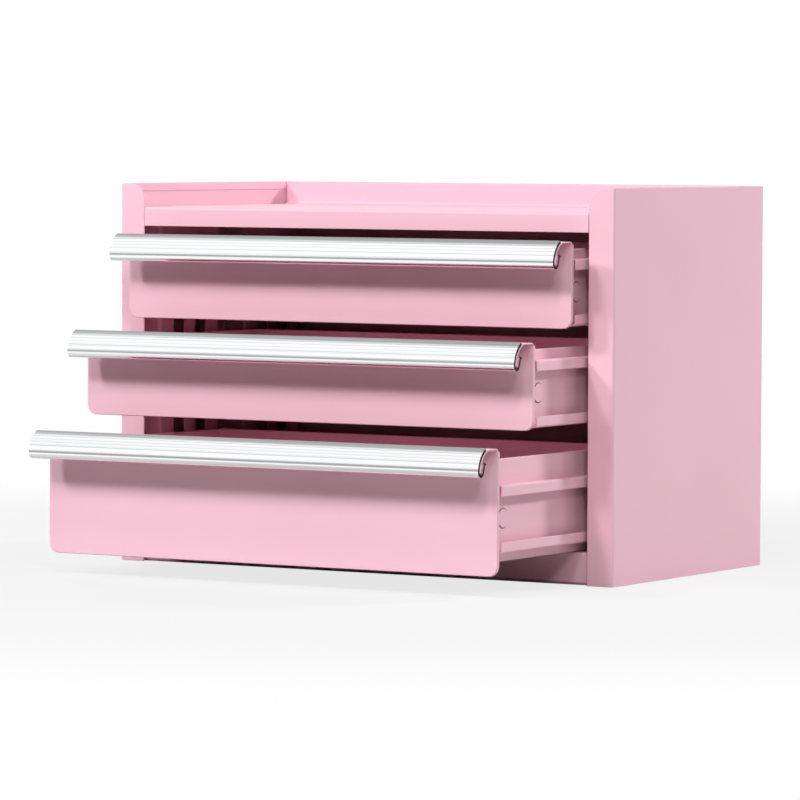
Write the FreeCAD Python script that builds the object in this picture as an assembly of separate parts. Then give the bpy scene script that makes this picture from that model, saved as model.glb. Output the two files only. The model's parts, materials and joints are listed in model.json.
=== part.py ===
import FreeCAD, Part
import math
import os

# Steel chest with an open tray on top and three drawers, each with a full-width aluminium handle.
# Millimetres. The origin is the middle of the underside, +Z is up, the drawers open towards -Y,
# and +X is the right-hand side seen from the front. The drawers stand partly open.

# Cabinet
cabinet_width = 457.0
cabinet_depth = 250.0
cabinet_height = 307.0
sheet = 1.0
fold_inside_radius = 1.0
post_width = 22.6
post_corner_radius = 14.0
rear_flange_width = 12.0
hem_height = 6.5
hem_top_flat = 0.2

# Tray on top
tray_depth = 19.0
lip_height = 15.5
lip_inside_radius = 1.5
lip_end_gap = 0.3
tray_rear_inside_radius = 3.0
rear_hem_height = 9.0
rear_hem_gap = 0.3

# Bottom panel and bottom rail
floor_flange_height = 14.0
bottom_rail_height = 24.6
bottom_rail_flange = 14.0
bottom_rail_clearance = 0.8
bottom_rail_end_lap = 6.0

# Uprights that carry the rails, a front and a rear one on each side
front_upright_setback = 24.0
rear_upright_setback = 13.0
upright_spacing = 39.0
upright_face_gap = 0.3
upright_inside_radius = 2.0
upright_foot = 10.0
slot_width = 16.0
slot_edge_distance = 20.0
slot_end_margin = 2.5

# Drawer fronts
shallow_front_height = 67.0
deep_front_foot = 16.5
top_gap = 5.5
front_gap = 7.5
deep_front_gap = 9.5
front_side_gap = 1.5
front_corner_radius = 8.0
front_top_inside_radius = 1.5
rim_depth = 3.2
rim_edge_round = 0.8
ledge_inside_radius = 2.0
lip_hem_length = 5.0
lip_hem_slack = 0.1

# Handle strip, a hooked extrusion pressed over the lip of each front
handle_rise = 1.0
handle_wall = 2.3
handle_front_radius = 21.0
handle_reach = 28.7
handle_start_angle = 62.0
handle_end_angle = 5.0
hook_radius = 4.6
hook_turn = 167.0
hook_leg = 7.7
hook_head_lap = 1.4
hook_head_height = 1.3
flute_count = 5
flute_pitch = 2.85
flute_radius = 0.3
flute_first_distance = 3.6
handle_end_inset = 0.3

# Drawer boxes
shallow_box_drop = 5.8
deep_box_drop = 9.0
shallow_box_lift = 1.0
deep_box_rail_gap = 0.5
box_length = 230.0
box_inside_radius = 1.0
box_hem_height = 7.0
box_front_flange = 10.0

# Slide channels on the drawers
slide_height = 51.0
slide_depth = 8.8
slide_lip = 8.2
slide_inside_radius = 0.6
slide_front_setback = 9.2
slide_side_gap = 2.9
shallow_slide_drop = 13.6
deep_slide_drop = 28.4
button_diameter = 14.5
button_height = 0.8
button_round = 0.5
button_setback = 24.0

# Rails in the cabinet, one inside each slide channel
rail_setback = 22.0
rail_end_gap = 0.5
rail_top_gap = 0.3
slide_play = 5.2
rail_brim = 9.0
rail_brim_gap = 3.0
rail_inside_radius = 1.0
stop_width = 8.0
stop_side_gap = 1.2
stop_lap = 3.0
stop_reach_gap = 2.8
stop_touch_gap = 0.3

# Travel of a drawer, and how far each one stands open
drawer_travel = 165.0
top_drawer_open = 23.8
middle_drawer_open = 82.4
bottom_drawer_open = 135.0

# Bend radii on the outside of the sheet
fold_radius = fold_inside_radius + sheet
lip_bend_radius = lip_inside_radius + sheet
upright_bend_radius = upright_inside_radius + sheet
front_top_radius = front_top_inside_radius + sheet
ledge_bend_radius = ledge_inside_radius + sheet
box_fold_radius = box_inside_radius + sheet
slide_bend_radius = slide_inside_radius + sheet
rail_bend_radius = rail_inside_radius + sheet
hem_round = sheet - hem_top_flat / 2

# The tray's rear hem wraps the rear panel, so it is three sheets across
rear_hem_radius = 3 * sheet / 2

# Coordinates closer than this are the same
rounding = 0.001

# Places that follow from the sizes above
half_width = cabinet_width / 2
front_y = -cabinet_depth / 2
rear_y = cabinet_depth / 2
side_inner_x = half_width - sheet
opening_half = half_width - post_width
front_half = opening_half - front_side_gap
tray_top_z = cabinet_height - tray_depth
lip_half = opening_half - lip_end_gap
lip_bottom_z = tray_top_z - lip_height
bottom_rail_y = front_y + rim_depth + bottom_rail_clearance
upright_face_x = opening_half + upright_face_gap
slide_outer_x = opening_half - slide_side_gap
box_half = slide_outer_x - slide_depth
rear_panel_y = rear_y - 2 * sheet
tray_wall_y = rear_panel_y - sheet
flat_half = half_width - fold_radius
upright_room = cabinet_depth - front_upright_setback - rear_upright_setback
upright_width = (upright_room - upright_spacing) / 2
bottom_rail_top_z = sheet + bottom_rail_height
deep_box_lift = bottom_rail_top_z + deep_box_rail_gap - deep_front_foot
shallow_fronts = 2 * shallow_front_height + 2 * handle_rise + top_gap + front_gap
deep_front_height = lip_bottom_z - shallow_fronts - deep_front_gap - handle_rise - deep_front_foot
lip_radius = handle_front_radius - handle_wall
handle_centre_drop = handle_front_radius * math.sin(math.radians(handle_start_angle)) - handle_rise
stop_tab_x = upright_face_x - sheet - stop_reach_gap
rail_height = slide_height - 2 * sheet - rail_top_gap - slide_play


def to_front_view(a, b):
    """Point of an X-Z section."""
    return FreeCAD.Vector(a, 0, b)


def to_side_view(a, b):
    """Point of a Y-Z section."""
    return FreeCAD.Vector(0, a, b)


def to_top_view(a, b):
    """Point of an X-Y section."""
    return FreeCAD.Vector(a, b, 0)


def beside(spot, angle, distance):
    """Point at a distance to the right of a heading."""
    return (spot[0] + distance * math.sin(angle), spot[1] - distance * math.cos(angle))


def cap_edge(spot, angle, thickness, view):
    """Cut end of a bent sheet."""
    ends = [view(*beside(spot, angle, distance)) for distance in (0, thickness)]
    return Part.LineSegment(*ends).toShape()


def run_edges(spot, angle, length, thickness, view):
    """Both sides of a straight stretch, and where its line ends."""
    end = (spot[0] + length * math.cos(angle), spot[1] + length * math.sin(angle))
    edges = []
    for distance in (0, thickness):
        ends = [view(*beside(point, angle, distance)) for point in (spot, end)]
        edges.append(Part.LineSegment(*ends).toShape())
    return edges, end


def turn_edges(spot, angle, turn, radius, thickness, view):
    """Both sides of a bend, and where its line ends."""
    side = math.copysign(radius, -turn)
    centre = beside(spot, angle, side)
    edges = []
    for distance in (0, thickness):
        points = [
            view(*beside(centre, angle + share * turn, distance - side)) for share in (0, 0.5, 1)
        ]
        edges.append(Part.Arc(*points).toShape())
    return edges, beside(centre, angle + turn, -side)


def bent_edges(start, heading, moves, thickness, view):
    """Both sides of a sheet bent along a line, where its line ends, and the heading there.

    A move is ("run", length) or ("turn", degrees, radius of the line), positive to the left.
    """
    spot = start
    angle = math.radians(heading)
    edges = []
    for kind, *sizes in moves:
        if kind == "run":
            sides, spot = run_edges(spot, angle, sizes[0], thickness, view)
        else:
            turn = math.radians(sizes[0])
            sides, spot = turn_edges(spot, angle, turn, sizes[1], thickness, view)
            angle += turn
        edges += sides
    return edges, spot, angle


def bent_section(start, heading, moves, thickness, view):
    """Face of a sheet bent along a line. The sheet lies to the right of the line."""
    edges, end, end_angle = bent_edges(start, heading, moves, thickness, view)
    edges.append(cap_edge(start, math.radians(heading), thickness, view))
    edges.append(cap_edge(end, end_angle, thickness, view))
    return Part.Face(Part.Wire(Part.sortEdges(edges)[0]))


def block(low, high):
    """Box between two corners."""
    size = [high[axis] - low[axis] for axis in range(3)]
    return Part.makeBox(size[0], size[1], size[2], FreeCAD.Vector(*low))


def cylinder(radius, length, base, direction):
    return Part.makeCylinder(radius, length, FreeCAD.Vector(*base), FreeCAD.Vector(*direction))


def spread(face, axis, low, high):
    """Extrude a section that lies at 0 on an axis so that it reaches from low to high."""
    step = FreeCAD.Vector(*[high - low if index == axis else 0 for index in range(3)])
    shift = FreeCAD.Vector(*[low if index == axis else 0 for index in range(3)])
    solid = face.extrude(step)
    solid.translate(shift)
    return solid


def round_edges(solid, radius, wanted):
    """Round the edges that a test picks by both of their end points."""
    edges = []
    for edge in solid.Edges:
        ends = [vertex.Point for vertex in edge.Vertexes]
        if len(ends) == 2 and wanted(ends[0], ends[1]):
            edges.append(edge)
    return solid.makeFillet(radius, edges)


def near(value, target):
    """Whether two coordinates are the same, apart from rounding in the modeller."""
    return abs(value - target) < rounding


def mirrored(solid):
    return solid.mirror(FreeCAD.Vector(0, 0, 0), FreeCAD.Vector(1, 0, 0))


def save(name, solid):
    solid = solid.removeSplitter()
    solid.exportStep("parts/" + name + ".step")


def save_pair(name, right_solid):
    save(name + "_right", right_solid)
    save(name + "_left", mirrored(right_solid))


# Cabinet shell


def side_panel():
    """Right-hand side with its front post, rear flange and the hem along its top."""
    fold = ("turn", -90, fold_radius)
    moves = [
        ("run", rear_flange_width - fold_radius),
        fold,
        ("run", cabinet_depth - 2 * fold_radius),
        fold,
        ("run", post_width - fold_radius),
    ]
    start = (half_width - rear_flange_width, rear_y)
    panel = spread(bent_section(start, 0, moves, sheet, to_top_view), 2, 0, cabinet_height)
    hem = block(
        (side_inner_x - sheet, front_y + fold_radius, cabinet_height - hem_height),
        (side_inner_x, tray_wall_y, cabinet_height),
    )
    panel = panel.cut(post_corner_waste()).fuse(hem).removeSplitter()

    def along_top(one, two):
        level = near(one.z, cabinet_height) and near(two.z, cabinet_height)
        lengthways = near(one.x, two.x) and abs(one.y - two.y) > cabinet_depth / 2
        return level and lengthways and not near(one.x, side_inner_x)

    return round_edges(panel, hem_round, along_top)


def post_corner_waste():
    """What the large round takes off the top inner corner of the right-hand post."""
    centre_x = opening_half + post_corner_radius
    centre_z = cabinet_height - post_corner_radius
    near_y = front_y - sheet
    far_y = front_y + 2 * sheet
    corner = block(
        (opening_half - sheet, near_y, centre_z), (centre_x, far_y, cabinet_height + sheet)
    )
    disc = cylinder(post_corner_radius, far_y - near_y, (centre_x, near_y, centre_z), (0, 1, 0))
    return corner.cut(disc)


def rear_panel():
    """Flat back, held between the rear flanges and the rear wall of the tray."""
    top = cabinet_height - rear_hem_radius - rear_hem_gap
    return block((-flat_half, rear_panel_y, sheet), (flat_half, rear_panel_y + sheet, top))


def top_tray():
    """Tray floor with its front lip, its rear wall and the hem over the rear panel."""
    floor_low_y = front_y + lip_bend_radius
    floor_high_y = tray_wall_y - tray_rear_inside_radius
    floor_low_z = tray_top_z - sheet
    wall_run = tray_depth - tray_rear_inside_radius - rear_hem_radius
    lip_moves = [("run", lip_height - lip_bend_radius), ("turn", -90, lip_bend_radius)]
    wall_moves = [("turn", 90, tray_rear_inside_radius), ("run", wall_run)]
    hem_moves = [("turn", -180, rear_hem_radius), ("run", rear_hem_height - rear_hem_radius)]
    lip = bent_section((front_y, lip_bottom_z), 90, lip_moves, sheet, to_side_view)
    wall = bent_section((floor_high_y, tray_top_z), 0, wall_moves, sheet, to_side_view)
    hem_start = (tray_wall_y, cabinet_height - rear_hem_radius)
    hem = bent_section(hem_start, 90, hem_moves, sheet, to_side_view)
    wall_half = side_inner_x - sheet
    hem_half = half_width - rear_flange_width - rear_hem_gap
    floor = block((-side_inner_x, floor_low_y, floor_low_z), (side_inner_x, floor_high_y, tray_top_z))
    corner = block((lip_half, front_y + sheet, floor_low_z), (flat_half, floor_low_y, tray_top_z))
    folds = [
        spread(lip, 0, -lip_half, lip_half),
        spread(wall, 0, -wall_half, wall_half),
        spread(hem, 0, -hem_half, hem_half),
    ]
    return floor.fuse(folds + [corner, mirrored(corner)])


def bottom_panel():
    """Flat floor with flanges turned up inside the sides and the back."""
    flange_run = ("run", floor_flange_height - fold_radius)
    fold = ("turn", -90, fold_radius)
    floor_half = side_inner_x - fold_radius
    side_moves = [flange_run, fold, ("run", 2 * floor_half), fold, flange_run]
    side_start = (side_inner_x, floor_flange_height)
    across = bent_section(side_start, -90, side_moves, sheet, to_front_view)
    rear_start = (rear_panel_y, floor_flange_height)
    back = bent_section(rear_start, -90, [flange_run, fold], sheet, to_side_view)
    pan = spread(across, 1, bottom_rail_y + fold_radius, rear_panel_y - fold_radius)
    return pan.fuse(spread(back, 0, -floor_half, floor_half))


def bottom_rail():
    """Front rail under the bottom drawer, folded back along its top and its foot."""
    half = opening_half + bottom_rail_end_lap
    flange_run = ("run", bottom_rail_flange - fold_radius)
    fold = ("turn", -90, fold_radius)
    moves = [flange_run, fold, ("run", bottom_rail_height - 2 * fold_radius), fold, flange_run]
    start = (bottom_rail_y + bottom_rail_flange, sheet)
    return spread(bent_section(start, 180, moves, sheet, to_side_view), 0, -half, half)


def upright(low_y, slot_rows):
    """Right-hand hat-shaped upright with its feet against the side, slotted between the rails."""
    foot_run = ("run", upright_foot - upright_bend_radius)
    reach = side_inner_x - upright_face_x - 2 * upright_bend_radius
    outer_turn = ("turn", -90, upright_bend_radius)
    foot_turn = ("turn", 90, upright_inside_radius)
    face_run = ("run", upright_width - 2 * upright_bend_radius)
    start = (side_inner_x - sheet, low_y - upright_foot + sheet)
    moves = [foot_run, foot_turn, ("run", reach), outer_turn, face_run, outer_turn]
    moves += [("run", reach), foot_turn, foot_run]
    section = bent_section(start, 90, moves, sheet, to_top_view)
    post = spread(section, 2, floor_flange_height, tray_top_z - sheet)
    front_slot_y = low_y + slot_edge_distance
    rear_slot_y = low_y + upright_width - slot_edge_distance - slot_width
    slots = []
    for low_z, high_z in slot_rows:
        for slot_y in (front_slot_y, rear_slot_y):
            low = (upright_face_x - sheet, slot_y, low_z + slot_end_margin)
            high = (upright_face_x + 2 * sheet, slot_y + slot_width, high_z - slot_end_margin)
            slots.append(block(low, high))
    return post.cut(slots)


def rail(slide_top):
    """Right-hand fixed rail: a hat section on the uprights, with a stop at each end."""
    brim_top = slide_top - sheet - rail_top_gap
    brim_x = box_half + 2 * sheet + rail_brim_gap
    crown_height = rail_height - 2 * (rail_brim - sheet)
    neck = upright_face_x - brim_x - rail_bend_radius - rail_inside_radius
    brim_run = ("run", rail_brim - rail_bend_radius)
    neck_run = ("run", neck)
    brim_turn = ("turn", 90, rail_inside_radius)
    crown_turn = ("turn", -90, rail_bend_radius)
    crown_run = ("run", crown_height - 2 * rail_bend_radius)
    moves = [brim_run, brim_turn, neck_run, crown_turn, crown_run]
    moves += [crown_turn, neck_run, brim_turn, brim_run]
    section = bent_section((brim_x, brim_top), -90, moves, sheet, to_front_view)
    front = front_y + rail_setback
    rear = front_y + box_length + rail_end_gap
    stop_half = crown_height / 2 - sheet - stop_side_gap
    middle = brim_top - rail_height / 2
    front_stop = block(
        (stop_tab_x - stop_lap, front, middle - stop_half),
        (upright_face_x - sheet, front + sheet, middle + stop_half),
    )
    rear_stop = block(
        (box_half + stop_touch_gap, rear, middle - stop_half),
        (upright_face_x, rear + sheet, middle + stop_half),
    )
    return spread(section, 1, front, rear).fuse([front_stop, rear_stop])


# Drawers


def slide_channel(face_y, slide_top):
    """Right-hand slide channel with its pressed button and its stop tab."""
    fold = ("turn", -90, slide_bend_radius)
    lip_run = ("run", slide_lip - slide_bend_radius)
    flange_run = ("run", slide_depth - 2 * slide_bend_radius)
    web_run = ("run", slide_height - 2 * slide_bend_radius)
    moves = [lip_run, fold, flange_run, fold, web_run, fold, flange_run, fold, lip_run]
    start = (slide_outer_x, slide_top - slide_height + slide_lip)
    section = bent_section(start, -90, moves, sheet, to_front_view)
    channel = spread(section, 1, face_y + slide_front_setback, face_y + box_length)
    button_x = box_half + sheet / 2
    button_z = slide_top - slide_height / 2
    button_base = (button_x, face_y + button_setback, button_z)
    button = cylinder(button_diameter / 2, button_height + sheet / 2, button_base, (1, 0, 0))
    button = button.makeFillet(button_round, [button.Edges[0]])
    tab_y = face_y + rail_setback + sheet + stop_touch_gap + drawer_travel
    tab_z = slide_top - sheet - rail_top_gap - rail_height / 2
    tab = block(
        (box_half + sheet, tab_y, tab_z - stop_width / 2),
        (stop_tab_x, tab_y + sheet, tab_z + stop_width / 2),
    )
    return channel.fuse([button, tab])


def drawer_box(face_y, low_z, high_z):
    """Open-topped box with rounded folds, hemmed walls and flanges behind the front."""
    near_y = face_y + sheet
    far_y = face_y + box_length
    hem_low = high_z - box_hem_height

    def folded_block(inset, low, front, fold):
        body = block((-box_half + inset, front, low), (box_half - inset, far_y - inset, high_z))

        def is_fold(one, two):
            at_rear = near(one.y, far_y - inset) and near(two.y, far_y - inset)
            at_floor = near(one.z, low) and near(two.z, low)
            rear_corner = at_rear and not near(one.z, two.z)
            floor_side = at_floor and near(one.x, two.x)
            return rear_corner or floor_side or (at_floor and at_rear)

        return round_edges(body, fold, is_fold)

    def between(solid, low, high):
        return solid.common(block((-box_half, near_y, low), (box_half, far_y, high)))

    outer = folded_block(0, low_z, near_y, box_fold_radius)
    inner = folded_block(sheet, low_z + sheet, near_y + sheet, box_inside_radius)
    hemmed = folded_block(2 * sheet, low_z + sheet, near_y + sheet, box_inside_radius)
    window = block(
        (-box_half + box_front_flange, near_y - sheet, low_z + box_front_flange),
        (box_half - box_front_flange, near_y + 2 * sheet, high_z + sheet),
    )
    hollows = [between(inner, low_z, hem_low), between(hemmed, hem_low, high_z), window]

    def along_hem(one, two):
        level = near(one.z, high_z) and near(two.z, high_z)
        return level and near(one.x, two.x) and abs(one.y - two.y) > box_length / 2

    return round_edges(outer.cut(hollows).removeSplitter(), hem_round, along_hem)


def handle_centre(top_z, face_y):
    """Centre of the handle's front curve, in side view."""
    return (face_y - handle_reach + handle_front_radius, top_z - handle_centre_drop)


def front_plate(face_y, low_z, top_z):
    """Plate of a drawer front, with a rim turned back along its sides and foot."""

    def outline(inset, near_y, far_y, high_z):
        body = block((-front_half + inset, near_y, low_z + inset), (front_half - inset, far_y, high_z))

        def bottom_corner(one, two):
            low = near(one.z, low_z + inset) and near(two.z, low_z + inset)
            return low and near(one.x, two.x)

        return round_edges(body, front_corner_radius - inset, bottom_corner)

    def lower_front_edge(one, two):
        on_face = near(one.y, face_y) and near(two.y, face_y)
        return on_face and near(one.z, low_z) and near(two.z, low_z)

    plate = outline(0, face_y, face_y + rim_depth, top_z)
    plate = round_edges(plate, rim_edge_round, lower_front_edge)
    return plate.cut(outline(sheet, face_y + sheet, face_y + rim_depth + sheet, top_z + sheet))


def drawer_front(face_y, low_z, top_z):
    """Front plate, the ledge along its top, and the hemmed lip that carries the handle."""
    plate_top = top_z - front_top_radius
    lip_inside = lip_radius - sheet
    hem_radius = lip_inside - lip_hem_slack
    bend_span = lip_radius - ledge_bend_radius
    bend_angle = math.acos((handle_centre_drop - ledge_bend_radius) / bend_span)
    ledge_reach = handle_reach - handle_front_radius + bend_span * math.sin(bend_angle)
    moves = [
        ("turn", 90, front_top_inside_radius),
        ("run", ledge_reach - front_top_inside_radius),
        ("turn", math.degrees(bend_angle), ledge_inside_radius),
        ("turn", 90 - math.degrees(bend_angle) - handle_end_angle, lip_inside),
        ("turn", 180, lip_hem_slack / 2),
        ("turn", -math.degrees(lip_hem_length / hem_radius), hem_radius),
    ]
    section = bent_section((face_y, plate_top), 90, moves, sheet, to_side_view)
    return front_plate(face_y, low_z, plate_top).fuse(spread(section, 0, -front_half, front_half))


def handle(face_y, top_z):
    """Fluted extrusion, curved in front. Its hook grips the lip, and ends in a thick head."""
    centre = handle_centre(top_z, face_y)
    start_angle = math.radians(handle_start_angle)

    def on_curve(angle, radius):
        return (centre[0] - radius * math.cos(angle), centre[1] + radius * math.sin(angle))

    moves = [
        ("turn", handle_start_angle - handle_end_angle, lip_radius),
        ("turn", hook_turn, hook_radius - handle_wall),
        ("run", hook_leg),
    ]
    half = front_half - handle_end_inset
    heading = 270 - handle_start_angle
    start = on_curve(start_angle, lip_radius)
    strip = bent_section(start, heading, moves, handle_wall, to_side_view)
    tip, tip_angle = bent_edges(start, heading, moves, handle_wall, to_side_view)[1:]
    head_start = beside(tip, tip_angle, -hook_head_lap)
    head_heading = math.degrees(tip_angle) - 90
    head_run = ("run", handle_wall + 2 * hook_head_lap)
    head = bent_section(head_start, head_heading, [head_run], hook_head_height, to_side_view)
    body = spread(strip, 0, -half, half).fuse(spread(head, 0, -half, half))
    flutes = []
    for index in range(flute_count):
        distance = flute_first_distance + index * flute_pitch
        spot = on_curve(start_angle - distance / handle_front_radius, handle_front_radius)
        flutes.append(cylinder(flute_radius, 2 * half, (-half, *spot), (1, 0, 0)))
    return body.cut(flutes)


def drawer(name, top_z, opening, kind):
    """Everything that one drawer moves, and the rails that it runs on."""
    face_y = front_y - opening
    low_z = top_z - kind["front_height"]
    slide_top = top_z - kind["slide_drop"]
    box_low = low_z + kind["box_lift"]
    save_pair(name + "_rail", rail(slide_top))
    save_pair(name + "_slide", slide_channel(face_y, slide_top))
    save(name + "_box", drawer_box(face_y, box_low, top_z - kind["box_drop"]))
    save(name + "_front", drawer_front(face_y, low_z, top_z))
    save(name + "_handle", handle(face_y, top_z))


def build():
    shallow = {
        "gap_above": front_gap,
        "front_height": shallow_front_height,
        "box_drop": shallow_box_drop,
        "box_lift": shallow_box_lift,
        "slide_drop": shallow_slide_drop,
    }
    deep = {
        "gap_above": deep_front_gap,
        "front_height": deep_front_height,
        "box_drop": deep_box_drop,
        "box_lift": deep_box_lift,
        "slide_drop": deep_slide_drop,
    }
    top = dict(shallow, gap_above=top_gap)
    openings = (top_drawer_open, middle_drawer_open, bottom_drawer_open)
    upper_z = lip_bottom_z
    slide_rows = []
    for index, (opening, kind) in enumerate(zip(openings, (top, shallow, deep))):
        top_z = upper_z - kind["gap_above"] - handle_rise
        drawer("drawer_" + str(index + 1), top_z, opening, kind)
        slide_top = top_z - kind["slide_drop"]
        slide_rows.append((slide_top - slide_height, slide_top))
        upper_z = top_z - kind["front_height"]
    slot_rows = [(lower[1], upper[0]) for upper, lower in zip(slide_rows, slide_rows[1:])]
    save_pair("side_panel", side_panel())
    save("rear_panel", rear_panel())
    save("top_tray", top_tray())
    save("bottom_panel", bottom_panel())
    save("bottom_rail", bottom_rail())
    save_pair("front_upright", upright(front_y + front_upright_setback, slot_rows))
    save_pair("rear_upright", upright(rear_y - rear_upright_setback - upright_width, slot_rows))


os.makedirs("parts", exist_ok=True)
build()
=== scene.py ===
import json
import math

import bmesh
import bpy
from bpy.props import FloatProperty, FloatVectorProperty, IntProperty, PointerProperty
from mathutils import Matrix, Vector
from mathutils.bvhtree import BVHTree

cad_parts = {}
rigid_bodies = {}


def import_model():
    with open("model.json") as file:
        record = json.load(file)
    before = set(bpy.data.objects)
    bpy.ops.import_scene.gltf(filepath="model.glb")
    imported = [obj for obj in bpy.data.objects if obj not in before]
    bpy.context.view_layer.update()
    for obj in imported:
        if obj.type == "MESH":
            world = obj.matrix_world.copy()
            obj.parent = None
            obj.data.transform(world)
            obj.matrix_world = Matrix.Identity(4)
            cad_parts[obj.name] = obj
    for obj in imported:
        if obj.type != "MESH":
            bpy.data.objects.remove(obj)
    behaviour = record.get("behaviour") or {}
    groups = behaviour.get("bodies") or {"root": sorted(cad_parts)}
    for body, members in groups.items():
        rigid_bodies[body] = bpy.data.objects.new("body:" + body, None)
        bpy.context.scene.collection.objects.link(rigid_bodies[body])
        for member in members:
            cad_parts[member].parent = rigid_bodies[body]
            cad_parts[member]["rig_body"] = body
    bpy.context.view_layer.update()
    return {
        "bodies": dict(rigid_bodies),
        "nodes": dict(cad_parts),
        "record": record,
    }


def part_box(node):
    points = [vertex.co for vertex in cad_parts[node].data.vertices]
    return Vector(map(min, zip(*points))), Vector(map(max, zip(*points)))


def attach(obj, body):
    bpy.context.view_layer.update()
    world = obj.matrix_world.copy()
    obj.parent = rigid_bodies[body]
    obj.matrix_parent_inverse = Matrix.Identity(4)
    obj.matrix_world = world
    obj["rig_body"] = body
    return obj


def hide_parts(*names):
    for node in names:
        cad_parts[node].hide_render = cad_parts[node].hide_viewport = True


# Pink steel chest with a tray on top and three drawers, each with a drawn aluminium handle strip.
# Everything is in metres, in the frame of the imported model: +Z up, drawers open towards -Y.

bl_info = {
    "name": "Tool chest finish",
    "version": (1, 0, 0),
    "blender": (4, 5, 0),
    "location": "3D View > Sidebar > Tool chest",
    "description": "Coats the folded sheets, sweeps the handle strips and lights the chest",
    "category": "Object",
}

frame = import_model()

MM = 0.001
CABINET = "cabinet"
HANDLE_END = "_handle"
SLIDE_ENDS = ("_slide_left", "_slide_right")
GROOVE_TREE = "pressed_groove"
GROOVE_ATTRIBUTE = "groove"
FLUTE_ATTRIBUTE = "flute"

# Places of a Mix node's sockets: its two colours and the mixed colour, then the same for numbers
COLOUR_A, COLOUR_B, MIXED_COLOUR = 6, 7, 2
NUMBER_A, NUMBER_B, MIXED_NUMBER = 2, 3, 0
WHITE = (1, 1, 1, 1)

MERGE_DISTANCE = 0.001 * MM
ENLARGED = 1000  # the grooves are cut in a mesh this much larger, because small cuts fail
FLAT_ANGLE = math.radians(0.2)  # CAD triangles that turn less than this are one flat face
CUT_ANGLE = math.radians(50)  # edges that turn more than this are cut edges
ROOM_BESIDE_EDGE = 2.2  # flat width that a rounded edge needs on each side, in times the round
LEVEL_WITHIN = 0.03 * MM  # how far sheet that counts as flat may be from its plane
LEAST_COSINE = 0.97  # between the normals of sheet that counts as flat
EDGE_SEGMENTS = 2
SHEET_SHARP_ANGLE = math.radians(40)
STRIP_SHARP_ANGLE = math.radians(35)

# Camera of the photograph, as fitted to the straight edges of the chest
CAMERA_PLACE = (2.10195, -3.53452, 0.34750)
CAMERA_YAW = math.radians(31.20)  # to the right of the chest's front
CAMERA_PITCH = math.radians(3.00)  # how far it looks down
CAMERA_ROLL = math.radians(0.240)
SENSOR_WIDTH = 36  # millimetres, as the lens
LENS = 228.24
CLIP_END = 50

# Lamps: name, watts, degrees to the right of the chest's front, degrees above level, and whether
# it shows in gloss. Most don't, because their glare would cover the tray, seen from across it.
LAMPS = (
    ("key_lamp", 27, -35, 35, False),
    ("front_lamp", 20, -10, 36, False),
    ("top_lamp", 9, 5, 60, True),
    ("high_lamp", 14, 28, 42, True),
    ("fill_lamp", 11.5, 40, 28, True),
    ("side_lamp", 40, 140, 30, False),
    ("low_side_lamp", 6, 115, 6, False),
    ("left_lamp", 17, -125, 24, False),
)
LIT_POINT = (0, -0.08, 0.15)

# The room that shows in gloss, as places from 0 to 1 and their brightness. The scale rises from
# low in front of the chest to high behind it: light floor, grey skirting, white walls and a grey
# ceiling. ROOM_TILT is the slope of that rise.
REFLECTED_ROOM = (
    (0, 1), (0.3, 1), (0.335, 0.35), (0.37, 0.35), (0.42, 1.06), (0.82, 1.06), (0.87, 0.85),
    (0.9, 0.45), (0.97, 0.35),
)
ROOM_TILT = math.radians(60)

FLOOR_RADIUS = 12
FLOOR_SIDES = 96
FLOOR_DROP = 0.2 * MM  # below the chest, so that their faces don't coincide
FLOOR_GREY_FROM, FLOOR_GREY_TO = 0.35, 0.8  # distances between which the floor turns grey
# The floor fades to white from one distance on. The camera and reflections each have a share of
# white that the floor starts with, and the distance where all of it is white.
FLOOR_WHITE_FROM = 0.3
WHITE_TO_CAMERA = (0.78, 1.1)
WHITE_IN_REFLECTIONS = (0, 0.7)


def linear(hex_colour):
    """Linear red, green and blue of an sRGB colour written as #RRGGBB."""
    shares = [int(hex_colour[place:place + 2], 16) / 255 for place in (1, 3, 5)]
    return [s / 12.92 if s <= 0.04045 else ((s + 0.055) / 1.055) ** 2.4 for s in shares]


def rgba(colour):
    """Red, green and blue as an opaque colour."""
    return (*colour, 1)


def colour_setting(name, hex_colour, description):
    """Colour property whose default is an sRGB hex value."""
    return FloatVectorProperty(
        name=name, description=description, subtype="COLOR", size=3, min=0, max=1,
        default=linear(hex_colour),
    )


def length_setting(name, millimetres, description):
    """Length property whose default is given in millimetres."""
    return FloatProperty(
        name=name, description=description, unit="LENGTH", default=millimetres * MM, precision=5
    )


def angle_setting(name, degrees, description):
    """Angle property whose default is given in degrees."""
    return FloatProperty(
        name=name, description=description, subtype="ANGLE", default=math.radians(degrees)
    )


def share_setting(name, share, description):
    """Property from 0 to 1."""
    return FloatProperty(
        name=name, description=description, subtype="FACTOR", default=share, min=0, max=1
    )


class CoatSettings(bpy.types.PropertyGroup):
    """The powder coat, and how soft it leaves the edges of the sheet."""

    colour: colour_setting("Coat colour", "#F2C5D4", "Colour of the powder coat on flat sheet")
    thin_colour: colour_setting(
        "Thin coat colour", "#EFBFCF", "Colour where the coat went on a little thinner"
    )
    # Painted highlight: the lighter colour on the rounded cut edges stands for the light they
    # catch.
    edge_highlight_colour: colour_setting(
        "Edge colour", "#F6CCDA", "Colour of the fuller bead of coat that runs along cut edges"
    )
    # Painted shade: this darker colour stands for the shade in the groove round each button.
    groove_shade_colour: colour_setting(
        "Groove colour", "#A06E7C", "Colour of the dusty coat in the pressed grooves"
    )
    edge_round: length_setting("Edge round", 0.28, "Round that the coat leaves on a cut edge")
    peel_size: length_setting("Peel size", 1.9, "Width of one ripple of the coat's orange peel")
    peel_depth: length_setting("Peel depth", 0.012, "Height of the orange peel ripples")
    cloud_size: length_setting("Cloud size", 90, "Width of the areas of thinner coat")
    roughness: share_setting("Roughness", 0.46, "Roughness of the cured coat")


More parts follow.
